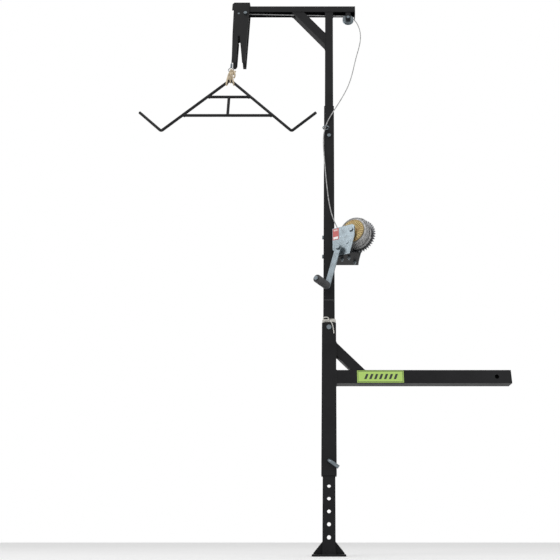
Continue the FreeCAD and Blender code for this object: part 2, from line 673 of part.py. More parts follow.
def build_winch_bracket():
    body = new_body("winch_bracket")
    shelf = new_sketch(body, "XY_Plane", "shelf_low")
    add_outline(shelf, [("middle_side / 2", "-shelf_nose"),
                        ("shelf_right - shelf_slant", "-shelf_front"),
                        ("shelf_right", "-shelf_front"), ("shelf_right", "shelf_back"),
                        ("middle_side / 2", "shelf_back")])
    pad(body, shelf, "shelf_thick")
    upright = new_sketch(body, "XY_Plane", "shelf_low")
    add_outline(upright, rectangle("shelf_thick", "middle_side",
                                   "middle_side / 2 + shelf_thick / 2", "0"))
    pad(body, upright, "bracket_top - shelf_low")
    drill(body, "YZ_Plane", [("bolt_hole_radius", "0", level) for level in BRACKET_BOLT_LEVELS])
    turn = winch_placement()
    places = [turn.multVec(Vector(x, y, 0)) for x, y in BASE_BOLT_PLACES]
    drill(body, "XY_Plane", [("base_bore_radius", f"{place.x:.6f}", f"{place.y:.6f}")
                             for place in places])

    wall = size("middle_side") / 2
    bolts = []
    nuts = []
    for index, rise in enumerate((size("bracket_bolt_rise"), -size("bracket_bolt_drop"))):
        level = size("winch_height") + rise
        bolts.append(bolt(f"bracket_bolt_{index}", "bolt_radius", "middle_side + 16",
                          "hex_radius", "hex_thick", facing(X_AXIS, Vector(-wall, 0, level))))
        nuts.append(nut(f"bracket_nut_{index}", "bolt_hole_radius", "hex_radius", "hex_thick",
                        facing(X_AXIS, Vector(wall + size("shelf_thick"), 0, level))))
    group_parts("bracket_bolts", bolts + nuts)

    top = -size("frame_base") + size("frame_wall")
    underside = size("shelf_low") - size("winch_height")
    bolts = []
    nuts = []
    for index, (x, y) in enumerate(BASE_BOLT_PLACES):
        down = Rotation(X_AXIS, 180)
        bolts.append(bolt(f"base_bolt_{index}", "base_bolt_radius", "base_bolt_long",
                          "base_hex_radius", "axle_hex_thick", winch_placement(x, y, top, down)))
        nuts.append(nut(f"base_nut_{index}", "base_bolt_radius + 0.1", "base_hex_radius",
                        "hex_thick", winch_placement(x, y, underside, down)))
    group_parts("base_bolts", bolts + nuts)


def group_parts(name, members):
    """Identical fasteners share one file as separate solids."""
    for member in members:
        del sub_parts[member.Label]
        member.Label = name + "_member"
    group = doc.addObject("Part::Compound", name + "_group")
    group.Links = members
    sub_part(group, name)


def build_drum():
    half = size("frame_half")
    radius = size("drum_axle_radius")
    bolt("drum_axle", "drum_axle_radius", "2 * frame_half + 12", "10", "6",
         winch_placement(0, -half, 0, AHEAD))
    nut("drum_axle_nut", "drum_axle_radius + 0.1", "10", "8", winch_placement(0, half, 0, AHEAD))

    spool = revolved("drum_spool", [("drum_bore_radius", "-38"), ("spool_radius", "-38"),
                                    ("spool_radius", "-31"), ("spool_flange - 4", "-31"),
                                    ("spool_flange", "-29"), ("spool_flange", "-25"),
                                    ("spool_flange - 3", "-28"), ("spool_radius", "-28"),
                                    ("spool_radius", "gear_front + gear_thick + 3"),
                                    ("drum_bore_radius", "gear_front + gear_thick + 3")])
    spool.Placement = winch_placement(0, 0, 0, AHEAD)

    coil = revolved("wound_cable", [("spool_radius", "-24"), ("coil_radius - 3", "-24"),
                                    ("coil_radius", "-20"), ("coil_radius", "22"),
                                    ("coil_radius - 3", "26"), ("spool_radius", "26")])
    coil.Placement = winch_placement(0, 0, 0, AHEAD)

    left, down = crank_offset()
    toward_pinion = math.atan2(-down, left)
    gap = toward_pinion + math.pi / size("gear_teeth")
    gear = toothed_wheel("drum_gear", "gear_teeth", "spool_radius", "gear_thick", gap)
    gear.Placement = winch_placement(0, size("gear_front"), 0, AHEAD)


def build_crank():
    left, down = crank_offset()
    half = size("frame_half")
    front = -size("arm_front")
    shaft = shaped("crank_shaft",
                   Part.makeCylinder(size("shaft_radius"), half + 6 - front,
                                     Vector(0, 0, 0), Z_AXIS))
    shaft.Placement = winch_placement(left, front, down, AHEAD)
    back_to_gear = math.atan2(down, -left)
    pinion = toothed_wheel("crank_pinion", "pinion_teeth", "shaft_radius", "gear_thick + 2",
                           back_to_gear)
    pinion.Placement = winch_placement(left, size("gear_front") - 1, down, AHEAD)

    pitch = 2 * math.pi / size("ratchet_teeth")
    outline = []
    for i in range(int(size("ratchet_teeth"))):
        outline.append(around("ratchet_tip", i * pitch))
        outline.append(around("ratchet_root", (i + RATCHET_RAKE) * pitch))
    ratchet = plate("ratchet_wheel", "XY_Plane", outline, "0", "ratchet_thick",
                    [("shaft_radius", "0", "0")])
    ratchet.Placement = winch_placement(left, -size("pawl_front"), down, AHEAD)

    slant = Rotation(Y_AXIS, size("arm_slant"))
    hub = winch_placement(left, front, down, slant)
    arm = new_body("crank_arm")
    bar = new_sketch(arm, "XZ_Plane", "-arm_thick")
    add_outline(bar, [("-arm_hub_half", "0"), ("-arm_end_radius", "-arm_length"),
                      ("arm_end_radius", "-arm_length"), ("arm_hub_half", "0")])
    pad(arm, bar, "arm_thick")
    for radius, level in (("arm_hub_radius", "0"), ("arm_end_radius", "-arm_length")):
        disc = new_sketch(arm, "XZ_Plane", "-arm_thick")
        add_circle(disc, radius, "0", level)
        pad(arm, disc, "arm_thick")
    drill(arm, "XZ_Plane", [("shaft_radius", "0", "0"), ("grip_axle_radius", "0", "-arm_length")])
    arm.Placement = hub

    crank_nut = plate("crank_nut", "XY_Plane", hexagon("crank_hex_radius"), "0", "nut_thick")
    crank_nut.Placement = winch_placement(left, front - size("nut_thick"), down, AHEAD)

    bore = size("grip_axle_radius")
    end = Vector(0, 0, -size("arm_length"))
    length = size("grip_length")
    thick = size("axle_head_thick")
    axle = Part.makeCylinder(bore, length + thick + size("arm_thick"),
                             end + Vector(0, -length - thick, 0), Y_AXIS)
    head = Part.makeCylinder(bore + 4, thick, end + Vector(0, -length - 2 * thick, 0), Y_AXIS)
    tail = Part.makeCylinder(bore + 3, thick, end + Vector(0, size("arm_thick"), 0), Y_AXIS)
    shaped("grip_axle", axle.fuse([head, tail]), hub)

    outline = [("grip_bore_radius", "-2.4"), ("grip_radius", "-2.4")]
    for i in range(int(size("grip_ribs"))):
        start = f"-6 - {i} * grip_rib_pitch"
        outline += [("grip_radius", start), ("grip_radius - grip_groove", f"{start} - 1"),
                    ("grip_radius - grip_groove", f"{start} - 3"), ("grip_radius", f"{start} - 4")]
    outline += [("grip_radius", "-grip_length + 3"), ("grip_radius - 3", "-grip_length"),
                ("grip_bore_radius", "-grip_length")]
    grip = revolved("crank_grip", outline)
    grip.Placement = hub.multiply(Placement(end, AHEAD))


def build_pawl():
    left, down = crank_offset()
    x, z = left + size("pawl_right"), down + size("pawl_rise")
    radius = size("grip_axle_radius")
    half = size("frame_half")
    pin = Part.makeCylinder(radius, 14, Vector(0, -half, 0), Y_AXIS)
    head = Part.makeCylinder(radius + 3, 3, Vector(0, -half - 3, 0), Y_AXIS)
    shaped("pawl_pin", pin.fuse(head), winch_placement(x, 0, z))
    pawl = plate("pawl", "XZ_Plane", [("7", "-6"), ("8", "6"), ("-6", "8"), ("-26", "2"), ("-25", "-2"),
                                      ("-6", "-7")],
                 "pawl_front - pawl_thick", "pawl_thick", [("grip_bore_radius", "0", "0")])
    pawl.Placement = winch_placement(x, 0, z)


# ---------------------------------------------------------------- cable
def build_cables():
    """The fixed run from the drum up the mast, over the rear pulley and along the boom."""
    radius = size("cable_radius")
    gap = size("cable_gap")
    rear = Vector(size("rear_pulley_right"), 0, size("rear_pulley_height"))
    sheave = Vector(-size("sheave_left"), 0, size("sheave_height"))
    rear_radius = size("rear_pulley_groove") + radius + gap
    sheave_radius = size("sheave_groove") + radius + gap
    between = sheave - rear
    lift = math.asin((rear_radius - sheave_radius) / between.Length)
    upward = math.atan2(between.z, between.x) - math.pi / 2 - lift
    normal = Vector(math.cos(upward), 0, math.sin(upward))

    coil = size("coil_radius") + radius + gap
    touch = math.radians(168)
    coil_point = winch_placement().multVec(Vector(coil * math.cos(touch), -12,
                                                  coil * math.sin(touch)))
    leave = math.radians(size("cable_leaves"))
    rise = rear + Vector(math.cos(leave), 0, math.sin(leave)) * rear_radius
    heading = Vector(math.sin(leave), 0, -math.cos(leave))
    face = -size("middle_side") / 2
    eye = Vector(-size("guided_left"), face - size("guided_stand"), size("eye_height"))
    slack_top = size("rear_pulley_height")
    waypoints = [coil_point,
                 Vector(20, face - 13, size("bracket_top") + 38),
                 Vector(-6, face - 14, size("eye_height") - 330),
                 Vector(-22, face - 11, size("eye_height") - 140),
                 eye,
                 Vector(27, face - 5.5, size("middle_end") - 22),
                 Vector(92, face + 6, size("middle_end") + 128),
                 Vector(131, -5, slack_top - 237),
                 Vector(153, 0, slack_top - 118),
                 Vector(140, 0, slack_top - 29),
                 rise + heading * 8,
                 rise + heading * 0.3]
    curve = Part.BSplineCurve()
    curve.interpolate(waypoints)
    middle_angle = (leave + upward) / 2
    over_rear = Part.Arc(rise, rear + Vector(math.cos(middle_angle), 0, math.sin(middle_angle))
                         * rear_radius, rear + normal * rear_radius)
    along = Part.makeLine(rear + normal * rear_radius, sheave + normal * sheave_radius)
    over_sheave = Part.Arc(sheave + normal * sheave_radius,
                           sheave + (normal - X_AXIS).normalize() * sheave_radius,
                           sheave - X_AXIS * sheave_radius)
    slack_run = rod_along(Part.Wire([curve.toShape()]), radius)
    boom_run = rod_along(Part.Wire([over_rear.toShape(), along, over_sheave.toShape()]), radius)
    shaped("hoist_cable", Part.makeCompound([slack_run, boom_run]))

    end = size("cable_end_height")
    hang = sheave - X_AXIS * sheave_radius
    drop = Part.makeCylinder(radius, hang.z - end, Vector(hang.x, 0, end), Z_AXIS)
    shaped("drop_cable", drop)
    low = end - size("ferrule_long")
    ferrule = Part.makeCylinder(size("ferrule_radius"), size("ferrule_long"),
                                Vector(hang.x, 0, low), Z_AXIS)
    ring_radius = size("eye_ring")
    ring_centre = Vector(hang.x, 0, low - ring_radius - radius)
    ring = Part.makeTorus(ring_radius, radius, ring_centre, Y_AXIS)
    shaped("cable_eye", Part.makeCompound([ferrule, ring]))


# ---------------------------------------------------------------- gambrel
def build_gambrel():
    rod = size("rod_radius")
    apex = Vector(-size("apex_left"), 0, size("apex_height"))
    out, drop = size("hook_out"), size("hook_drop")
    tip_out, tip_rise = size("tip_out"), size("tip_rise")
    corners = [apex + Vector(-tip_out, 0, tip_rise - drop), apex + Vector(-out, 0, -drop), apex,
               apex + Vector(out, 0, -drop), apex + Vector(tip_out, 0, tip_rise - drop)]
    arms = rod_along(bent_path(corners, size("rod_bend")), rod)
    shaped("gambrel_rod", arms)
    bars = {}
    for name, alias in (("upper_spreader", "upper_bar_drop"), ("lower_spreader", "lower_bar_drop")):
        level = size(alias)
        reach = level * out / drop
        bar = Part.makeCylinder(rod, 2 * reach, apex + Vector(-reach, 0, -level), X_AXIS)
        bars[name] = max(bar.cut(arms).Solids, key=lambda solid: solid.Volume)
        shaped(name, bars[name])
    upright_length = size("lower_bar_drop") - size("upper_bar_drop")
    upright = Part.makeCylinder(rod, upright_length, apex - Z_AXIS * size("lower_bar_drop"), Z_AXIS)
    shaped("center_strut", upright.cut(bars["upper_spreader"]).cut(bars["lower_spreader"]))


def build_rope():
    """A rope sling through the cable's eye and round the gambrel's apex."""
    radius = size("rope_radius")
    half = size("sling_half")
    across = -size("apex_left")
    eye_bottom = size("cable_end_height") - size("ferrule_long") - 2 * size("eye_ring")
    top = eye_bottom + radius + size("sling_clear")
    low = size("apex_height") - size("sling_drop")
    corners = [Vector(across, 0, top), Vector(across, half, top), Vector(across, half, low),
               Vector(across, -half, low), Vector(across, -half, top), Vector(across, 0, top)]
    shaped("rope_sling", rod_along(bent_path(corners, half - 0.05), radius))


def check_and_export():
    """Stop on any failed object, then write each sub-part to its own file."""
    doc.recompute()
    for item in doc.Objects:
        if "Invalid" in item.State or "Error" in item.State:
            raise RuntimeError(f"{item.Name} failed: {item.State}")
    os.makedirs("parts", exist_ok=True)
    for name, item in sub_parts.items():
        if item.Shape.isNull() or not item.Shape.isValid() or not item.Shape.Solids:
            raise RuntimeError(f"{name} has no valid solid")
        item.Shape.exportStep(f"parts/{name}.step")
    print(len(sub_parts), "sub-parts written")


build_foot()
build_leg()
build_lower_mast()
build_hitch_bar()
build_lower_brace()
build_label()
build_pins()
build_lanyard()
build_swivel()
build_masts()
build_guide_eye()
build_boom()
build_upper_brace()
build_head()
build_pulleys()
build_winch_frame()
build_winch_bracket()
build_drum()
build_crank()
build_pawl()
build_cables()
build_gambrel()
build_rope()
group_parts("frame_bolts", [sub_parts["mast_bolt"], sub_parts["head_bolt"]])
group_parts("frame_nuts", [sub_parts["mast_nut"], sub_parts["head_nut"], sub_parts["spigot_nut"]])
check_and_export()
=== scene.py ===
import json
import math
import random

import bpy
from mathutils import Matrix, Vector


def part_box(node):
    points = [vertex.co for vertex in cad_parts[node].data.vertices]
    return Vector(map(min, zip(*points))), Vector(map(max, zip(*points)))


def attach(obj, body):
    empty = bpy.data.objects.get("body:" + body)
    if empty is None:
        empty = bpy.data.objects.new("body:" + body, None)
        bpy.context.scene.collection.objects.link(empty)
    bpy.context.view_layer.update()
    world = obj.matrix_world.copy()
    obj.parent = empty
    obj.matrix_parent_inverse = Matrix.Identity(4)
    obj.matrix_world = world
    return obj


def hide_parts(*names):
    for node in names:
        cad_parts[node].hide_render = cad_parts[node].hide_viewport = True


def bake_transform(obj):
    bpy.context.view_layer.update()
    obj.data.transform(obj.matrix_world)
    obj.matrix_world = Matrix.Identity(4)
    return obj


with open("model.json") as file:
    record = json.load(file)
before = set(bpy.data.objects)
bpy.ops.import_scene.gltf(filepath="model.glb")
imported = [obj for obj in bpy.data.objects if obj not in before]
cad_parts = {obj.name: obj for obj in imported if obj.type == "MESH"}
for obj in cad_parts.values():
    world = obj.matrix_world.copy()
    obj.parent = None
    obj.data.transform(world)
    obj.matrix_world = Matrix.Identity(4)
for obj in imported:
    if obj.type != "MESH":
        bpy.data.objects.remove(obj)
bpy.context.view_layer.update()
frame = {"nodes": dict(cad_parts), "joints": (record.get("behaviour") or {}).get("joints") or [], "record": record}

MM = 0.001
UP = Vector((0, 0, 1))
X, Z = 0, 2                # axis numbers
LOW, HIGH = 0, 1
CABLE_RADIUS = 2.2 * MM
ROD_SLOPE = 295 / 290      # how far the gambrel's rod runs outwards for its drop
rng = random.Random(7)


# ---------------------------------------------------------------- material helpers
def new_material(name, color, metallic=0.0, roughness=0.5):
    """A principled material and its shader node."""
    material = bpy.data.materials.new(name)
    material.use_nodes = True
    shader = material.node_tree.nodes["Principled BSDF"]
    shader.inputs["Base Color"].default_value = (*color, 1)
    shader.inputs["Metallic"].default_value = metallic
    shader.inputs["Roughness"].default_value = roughness
    return material, shader


def add_node(material, kind, **inputs):
    """A new node. An input is named with an underscore for each space in its name."""
    node = material.node_tree.nodes.new(kind)
    for name, value in inputs.items():
        node.inputs[name.replace("_", " ")].default_value = value
    return node


def link(material, source, target):
    material.node_tree.links.new(source, target)


def coordinates(material, stretch=(1, 1, 1)):
    """Object coordinates in metres, stretched along the axes."""
    place = add_node(material, "ShaderNodeTexCoord")
    mapping = add_node(material, "ShaderNodeMapping", Scale=stretch)
    link(material, place.outputs["Object"], mapping.inputs["Vector"])
    return mapping.outputs["Vector"]


def noise(material, vector, scale, detail=4.0, roughness=0.6):
    node = add_node(material, "ShaderNodeTexNoise", Scale=scale, Detail=detail, Roughness=roughness)
    link(material, vector, node.inputs["Vector"])
    return node.outputs["Fac"]


def ramp(material, factor, stops):
    """A colour ramp from (position, colour) stops."""
    node = add_node(material, "ShaderNodeValToRGB")
    elements = node.color_ramp.elements
    while len(elements) < len(stops):
        elements.new(0.5)
    for element, (position, color) in zip(elements, stops):
        element.position = position
        element.color = (*color, 1)
    link(material, factor, node.inputs["Fac"])
    return node.outputs["Color"]


def grey(value):
    return (value, value, value)


def scaled(color, factor):
    return tuple(channel * factor for channel in color)


def mix_colors(material, factor, first, second):
    """Mixes two colours; each argument is a value or another node's output."""
    node = add_node(material, "ShaderNodeMix")
    node.data_type = "RGBA"
    factor_socket, first_socket, second_socket = node.inputs[0], node.inputs[6], node.inputs[7]
    for source, socket in ((factor, factor_socket), (first, first_socket), (second, second_socket)):
        if isinstance(source, (int, float)):
            socket.default_value = source
        elif isinstance(source, tuple):
            socket.default_value = (*source, 1)
        else:
            link(material, source, socket)
    mixed_color = node.outputs[2]
    return mixed_color


def arithmetic(material, operation, first, second, clamp=False):
    """A sum or product; each operand is a number or another node's output."""
    node = add_node(material, "ShaderNodeMath")
    node.operation = operation
    node.use_clamp = clamp
    for source, socket in ((first, node.inputs[0]), (second, node.inputs[1])):
        if isinstance(source, (int, float)):
            socket.default_value = source
        else:
            link(material, source, socket)
    return node.outputs[0]


def bump(material, shader, height, strength, distance):
    node = add_node(material, "ShaderNodeBump", Strength=strength, Distance=distance)
    link(material, height, node.inputs["Height"])
    link(material, node.outputs["Normal"], shader.inputs["Normal"])


def edge_mask(material, radius):
    """1 close to sharp edges and 0 on flat faces."""
    sharpness = 9.0
    bevel = add_node(material, "ShaderNodeBevel", Radius=radius)
    bevel.samples = 6
    geometry = add_node(material, "ShaderNodeNewGeometry")
    dot = add_node(material, "ShaderNodeVectorMath")
    dot.operation = "DOT_PRODUCT"
    link(material, bevel.outputs["Normal"], dot.inputs[0])
    link(material, geometry.outputs["Normal"], dot.inputs[1])
    away = arithmetic(material, "SUBTRACT", 1.0, dot.outputs["Value"])
    return arithmetic(material, "MULTIPLY", away, sharpness, clamp=True)


# ---------------------------------------------------------------- materials
def powder_coat(name, color, worn=0.3):
    """Satin black powder coat: orange peel, faint dust, and rubbed edges that show primer."""
    material, shader = new_material(name, color, roughness=0.42)
    shader.inputs["Specular IOR Level"].default_value = 0.2
    vector = coordinates(material)
    cloud = noise(material, vector, 9.0)
    coat = ramp(material, cloud, [(0.3, scaled(color, 0.72)), (0.7, scaled(color, 1.5))])
    speck = ramp(material, noise(material, vector, 420.0, 2.0), [(0.62, grey(0)), (0.78, grey(1))])
    dust = (0.06, 0.058, 0.056)
    dusty = mix_colors(material, arithmetic(material, "MULTIPLY", speck, 0.25), coat, dust)
    scratches = noise(material, coordinates(material, (900, 900, 26)), 1.0, 3.0)
    patchy = ramp(material, noise(material, vector, 34.0, 6.0), [(0.5, grey(0)), (0.62, grey(1))])
    rubbed = arithmetic(material, "MULTIPLY", edge_mask(material, 1.4 * MM), patchy)
    rubbed = arithmetic(material, "MULTIPLY", rubbed, worn)
    primer = (0.11, 0.11, 0.114)
    painted = mix_colors(material, rubbed, dusty, primer)
    link(material, painted, shader.inputs["Base Color"])
    sheen = ramp(material, cloud, [(0.25, grey(0.36)), (0.75, grey(0.52))])
    link(material, sheen, shader.inputs["Roughness"])
    peel = noise(material, vector, 620.0, 2.0)
    surface = arithmetic(material, "ADD", peel, arithmetic(material, "MULTIPLY", scratches, 0.35))
    bump(material, shader, surface, strength=0.16, distance=0.4 * MM)
    return material


def plated(name, color, tint, roughness=0.3):
    """Zinc plate: cloudy passivation colours, patches of grime, fine brushing and bright edges."""
    material, shader = new_material(name, color, metallic=0.82, roughness=roughness)
    vector = coordinates(material)
    cloud = noise(material, vector, 46.0, 5.0)
    film = ramp(material, cloud, [(0.32, color), (0.56, tint), (0.72, color)])
    grime = ramp(material, noise(material, vector, 16.0, 6.0), [(0.52, grey(0)), (0.8, grey(1))])
    film = mix_colors(material, arithmetic(material, "MULTIPLY", grime, 0.35), film,
                      scaled(color, 0.4))
    bare_zinc = (0.46, 0.49, 0.51)
    bright = mix_colors(material, arithmetic(material, "MULTIPLY", edge_mask(material, 0.8 * MM), 0.5),
                        film, bare_zinc)
    link(material, bright, shader.inputs["Base Color"])
    brushed = noise(material, coordinates(material, (1500, 60, 60)), 1.0, 3.0)
    rough = ramp(material, brushed, [(0.3, grey(roughness - 0.08)), (0.7, grey(roughness + 0.16))])
    link(material, rough, shader.inputs["Roughness"])
    bump(material, shader, brushed, strength=0.12, distance=0.2 * MM)
    return material


def wire_rope():
    """Galvanised wire: dull zinc grey with oil in the lay and a fine wire grain."""
    material, shader = new_material("wire_rope", (0.5, 0.51, 0.52), metallic=0.6, roughness=0.42)
    vector = coordinates(material)
    oily = ramp(material, noise(material, vector, 120.0, 4.0), [(0.35, grey(0.22)), (0.65, grey(0.46))])
    link(material, oily, shader.inputs["Base Color"])
    wires = add_node(material, "ShaderNodeTexWave", Scale=320.0, Distortion=1.2)
    wires.bands_direction = "DIAGONAL"
    link(material, vector, wires.inputs["Vector"])
    link(material, ramp(material, wires.outputs["Fac"], [(0, grey(0.34)), (1, grey(0.55))]),
         shader.inputs["Roughness"])
    bump(material, shader, wires.outputs["Fac"], strength=0.5, distance=0.4 * MM)
    return material


def fibre(name, color, dark):
    """Fibrous cord or rope, with painted shade in the hollows between the strands: darker where the strand noise
    is low, where the bump also sinks, and with tone that differs at random.
    """
    material, shader = new_material(name, color, roughness=0.9)
    vector = coordinates(material)
    strands = noise(material, vector, 520.0, 4.0)
    cloud = noise(material, vector, 60.0, 3.0)
    # painted shade: the dark colour follows the strand noise that also sinks the bump, so it falls in the hollows
    tone = ramp(material, arithmetic(material, "MULTIPLY", arithmetic(material, "ADD", strands, cloud), 0.5),
                [(0.36, dark), (0.6, color)])
    link(material, tone, shader.inputs["Base Color"])
    shader.inputs["Sheen Weight"].default_value = 0.4
    link(material, ramp(material, cloud, [(0, grey(0.8)), (1, grey(0.98))]), shader.inputs["Roughness"])
    bump(material, shader, strands, strength=0.7, distance=0.5 * MM)
    return material


def moulded(name, color, roughness=0.6):
    """Moulded rubber or nylon: fine grain, slight bloom and handled high spots."""
    material, shader = new_material(name, color, roughness=roughness)
    vector = coordinates(material)
    grain = noise(material, vector, 900.0, 2.0)
    bloom = noise(material, vector, 40.0, 4.0)
    tone = ramp(material, bloom, [(0.3, color), (0.8, tuple(channel * 2.2 + 0.01 for channel in color))])
    worn = mix_colors(material, arithmetic(material, "MULTIPLY", edge_mask(material, 0.8 * MM), 0.3), tone,
                      (0.12, 0.12, 0.12))
    link(material, worn, shader.inputs["Base Color"])
    link(material, ramp(material, bloom, [(0, grey(roughness - 0.12)), (1, grey(roughness + 0.15))]),
         shader.inputs["Roughness"])
    bump(material, shader, grain, strength=0.3, distance=0.3 * MM)
    return material


def vinyl(name, color):
    """Printed vinyl: slightly uneven gloss, small scuffs and tiny bubbles."""
    material, shader = new_material(name, color, roughness=0.35)
    vector = coordinates(material)
    scuffs = ramp(material, noise(material, coordinates(material, (60, 60, 240)), 1.0, 6.0),
                  [(0.6, grey(0)), (0.75, grey(1))])
    faded = tuple(min(1, channel * 1.15 + 0.04) for channel in color)
    tone = mix_colors(material, arithmetic(material, "MULTIPLY", scuffs, 0.5), color, faded)
    link(material, tone, shader.inputs["Base Color"])
    link(material, ramp(material, noise(material, vector, 80.0), [(0, grey(0.28)), (1, grey(0.5))]),
         shader.inputs["Roughness"])
    bump(material, shader, noise(material, vector, 260.0, 2.0), strength=0.1, distance=0.3 * MM)
    return material


MATERIALS = {
    "black_frame": powder_coat("powder_coat_black", (0.0055, 0.0056, 0.0063)),
    "zinc": plated("zinc_plate", (0.155, 0.18, 0.195), (0.21, 0.25, 0.275)),
    "yellow_zinc": plated("yellow_zinc_plate", (0.34, 0.215, 0.10), (0.38, 0.30, 0.14), 0.42),
    "gear_steel": plated("gear_steel", (0.22, 0.225, 0.235), (0.17, 0.17, 0.178), 0.36),
    "bush_nylon": moulded("bush_nylon", (0.03, 0.03, 0.03)),
    "cable_steel": wire_rope(),
    # the second colour of rope and cord is the painted shade in their hollows
    "rope": fibre("tan_rope", (0.60, 0.50, 0.35), (0.27, 0.21, 0.13)),
    "cord": fibre("pale_cord", (0.74, 0.73, 0.68), (0.40, 0.39, 0.36)),
    "grip_rubber": moulded("grip_rubber", (0.02, 0.02, 0.021), 0.55),
    "label_lime": vinyl("lime_vinyl", (0.36, 0.54, 0.12)),
    "sticker_red": vinyl("red_vinyl", (0.44, 0.075, 0.07)),
}
BLACK_VINYL = vinyl("black_vinyl", (0.02, 0.022, 0.02))
WHITE_VINYL = vinyl("white_vinyl", (0.78, 0.78, 0.76))


def paint_nodes():
    """Every CAD node takes the material of its own slot."""
    for part in frame["record"]["subparts"]:
        mesh = frame["nodes"][part["node"]].data
        mesh.materials.clear()
        mesh.materials.append(MATERIALS[part["material_slot"]])


ROUNDED = {        # edge width in millimetres, and the nodes that get it
    2.6: ("leg_tube", "lower_mast", "hitch_bar", "swivel_post", "middle_mast", "top_mast",
          "bar_brace", "boom_brace", "boom_channel"),
    1.0: ("foot_plate", "head_plates", "winch_bracket", "winch_frame", "crank_arm", "boom_end_plate",
          "foot_gussets", "pulley_cheeks", "head_cap"),
    0.5: ("bracket_bolts", "base_bolts", "frame_bolts", "frame_nuts", "drum_axle", "drum_axle_nut",
          "rear_axle", "rear_axle_nut", "crank_nut", "pawl", "crank_grip", "drum_spool", "rear_pulley",
          "head_sheave"),
}


def round_edges():
    """Softens the sharp edges of the CAD nodes, as on rolled tube and cut plate.

    The faces are made whole first, so that the rounding isn't held back by the mesh's slivers,
    and the normals are set last, so that flat faces stay flat.
    """
    for width, names in ROUNDED.items():
        for name in names:
            node = frame["nodes"][name]
            weld = node.modifiers.new("weld", "WELD")
            weld.merge_threshold = 0.01 * MM
            flat = node.modifiers.new("whole_faces", "DECIMATE")
            flat.decimate_type = "DISSOLVE"
            flat.angle_limit = math.radians(0.5)
            bevel = node.modifiers.new("rounded_edges", "BEVEL")
            bevel.width = width * MM
            bevel.segments = 3
            bevel.limit_method = "ANGLE"
            bevel.angle_limit = math.radians(50)
            split = node.modifiers.new("sharp_edges", "EDGE_SPLIT")
            split.split_angle = math.radians(35)
            weighted = node.modifiers.new("flat_faces", "WEIGHTED_NORMAL")
            weighted.weight = 100
            weighted.keep_sharp = True
            node.data.polygons.foreach_set("use_smooth", [True] * len(node.data.polygons))


# ---------------------------------------------------------------- sweeping helpers
def full_turn(steps):
    """Angles once round a circle, with the first one repeated at the end."""
    return [2 * math.pi * i / steps for i in range(steps + 1)]


def smooth_path(points, step):
    """Points along a Catmull-Rom curve through the given points, about one step apart."""
    ends = [points[0] * 2 - points[1]] + points + [points[-1] * 2 - points[-2]]
    path = []
    for a, b, c, d in zip(ends, ends[1:], ends[2:], ends[3:]):
        count = max(2, int((c - b).length / step))
        for i in range(count):
            t = i / count
            path.append(0.5 * (2 * b + (c - a) * t + (2 * a - 5 * b + 4 * c - d) * t * t
                               + (3 * b - a - 3 * c + d) * t ** 3))
    path.append(points[-1].copy())
    return path


def carried_frames(path):
    """The tangent at each point, and a side vector carried along the path without twisting."""
    tangents = []
    for i in range(len(path)):
        before = path[max(i - 1, 0)]
        after = path[min(i + 1, len(path) - 1)]
        tangents.append((after - before).normalized())
    start = Vector((1, 0, 0)) if abs(tangents[0].x) < 0.8 else Vector((0, 1, 0))
    side = (start - tangents[0] * start.dot(tangents[0])).normalized()
    sides = []
    for tangent in tangents:
        side = (side - tangent * side.dot(tangent)).normalized()
        sides.append(side.copy())
    return tangents, sides


def add_mesh(name, vertices, faces, finish, smooth=True):
    """A new piece; its finish is a material slot of the record, or a material of its own."""
    mesh = bpy.data.meshes.new(name)
    mesh.from_pydata(vertices, [], faces)
    mesh.polygons.foreach_set("use_smooth", [smooth] * len(mesh.polygons))
    in_slot = isinstance(finish, str)
    mesh.materials.append(MATERIALS[finish] if in_slot else finish)
    mesh.update()
    piece = bpy.data.objects.new(name, mesh)
    bpy.context.scene.collection.objects.link(piece)
    return piece


def add_tube(vertices, faces, path, radii, sides):
    """Adds a capped tube round a path to the mesh lists."""
    first = len(vertices)
    tangents, side_vectors = carried_frames(path)
    for centre, tangent, side, radius in zip(path, tangents, side_vectors, radii):
        other = tangent.cross(side)
        for k in range(sides):
            angle = 2 * math.pi * k / sides
            vertices.append(centre + (side * math.cos(angle) + other * math.sin(angle)) * radius)
    for i in range(len(path) - 1):
        for k in range(sides):
            a = first + i * sides + k
            b = first + i * sides + (k + 1) % sides
            faces.append((a, b, b + sides, a + sides))
    faces.append(tuple(first + k for k in reversed(range(sides))))
    last = first + (len(path) - 1) * sides
    faces.append(tuple(last + k for k in range(sides)))


def twisted(name, runs, radius, strands, pitch, slot_name, sides=6, step=2.0 * MM):
    """Laid rope or cable: strands wound round each run of points, as one mesh."""
    vertices, faces = [], []
    spacing = math.sin(math.pi / strands)
    squeeze = 1.06         # neighbouring strands press into each other a little
    strand_radius = radius * spacing / (1 + spacing) * squeeze
    offset = radius - strand_radius
    for points in runs:
        path = smooth_path(points, step)
        tangents, side_vectors = carried_frames(path)
        travelled = [0.0]
        for before, after in zip(path, path[1:]):
            travelled.append(travelled[-1] + (after - before).length)
        for strand in range(strands):
            wound = []
            for centre, tangent, side, length in zip(path, tangents, side_vectors, travelled):
                angle = 2 * math.pi * (strand / strands + length / pitch)
                other = tangent.cross(side)
                wound.append(centre + (side * math.cos(angle) + other * math.sin(angle)) * offset)
            add_tube(vertices, faces, wound, [strand_radius] * len(wound), sides)
    return add_mesh(name, vertices, faces, slot_name)


# ---------------------------------------------------------------- measures from the frame
JOINTS = {joint["name"]: joint for joint in frame["joints"]}


def joint_point(name):
    return Vector(JOINTS[name]["pos_m"])


def winch_point(across, along, up):
    """A point from the drum's centre, in the winch's own directions, in millimetres."""
    axis = Vector(JOINTS["drum_spin"]["axis"])
    right = UP.cross(axis) * -1
    return joint_point("drum_spin") + (right * across + axis * along + UP * up) * MM


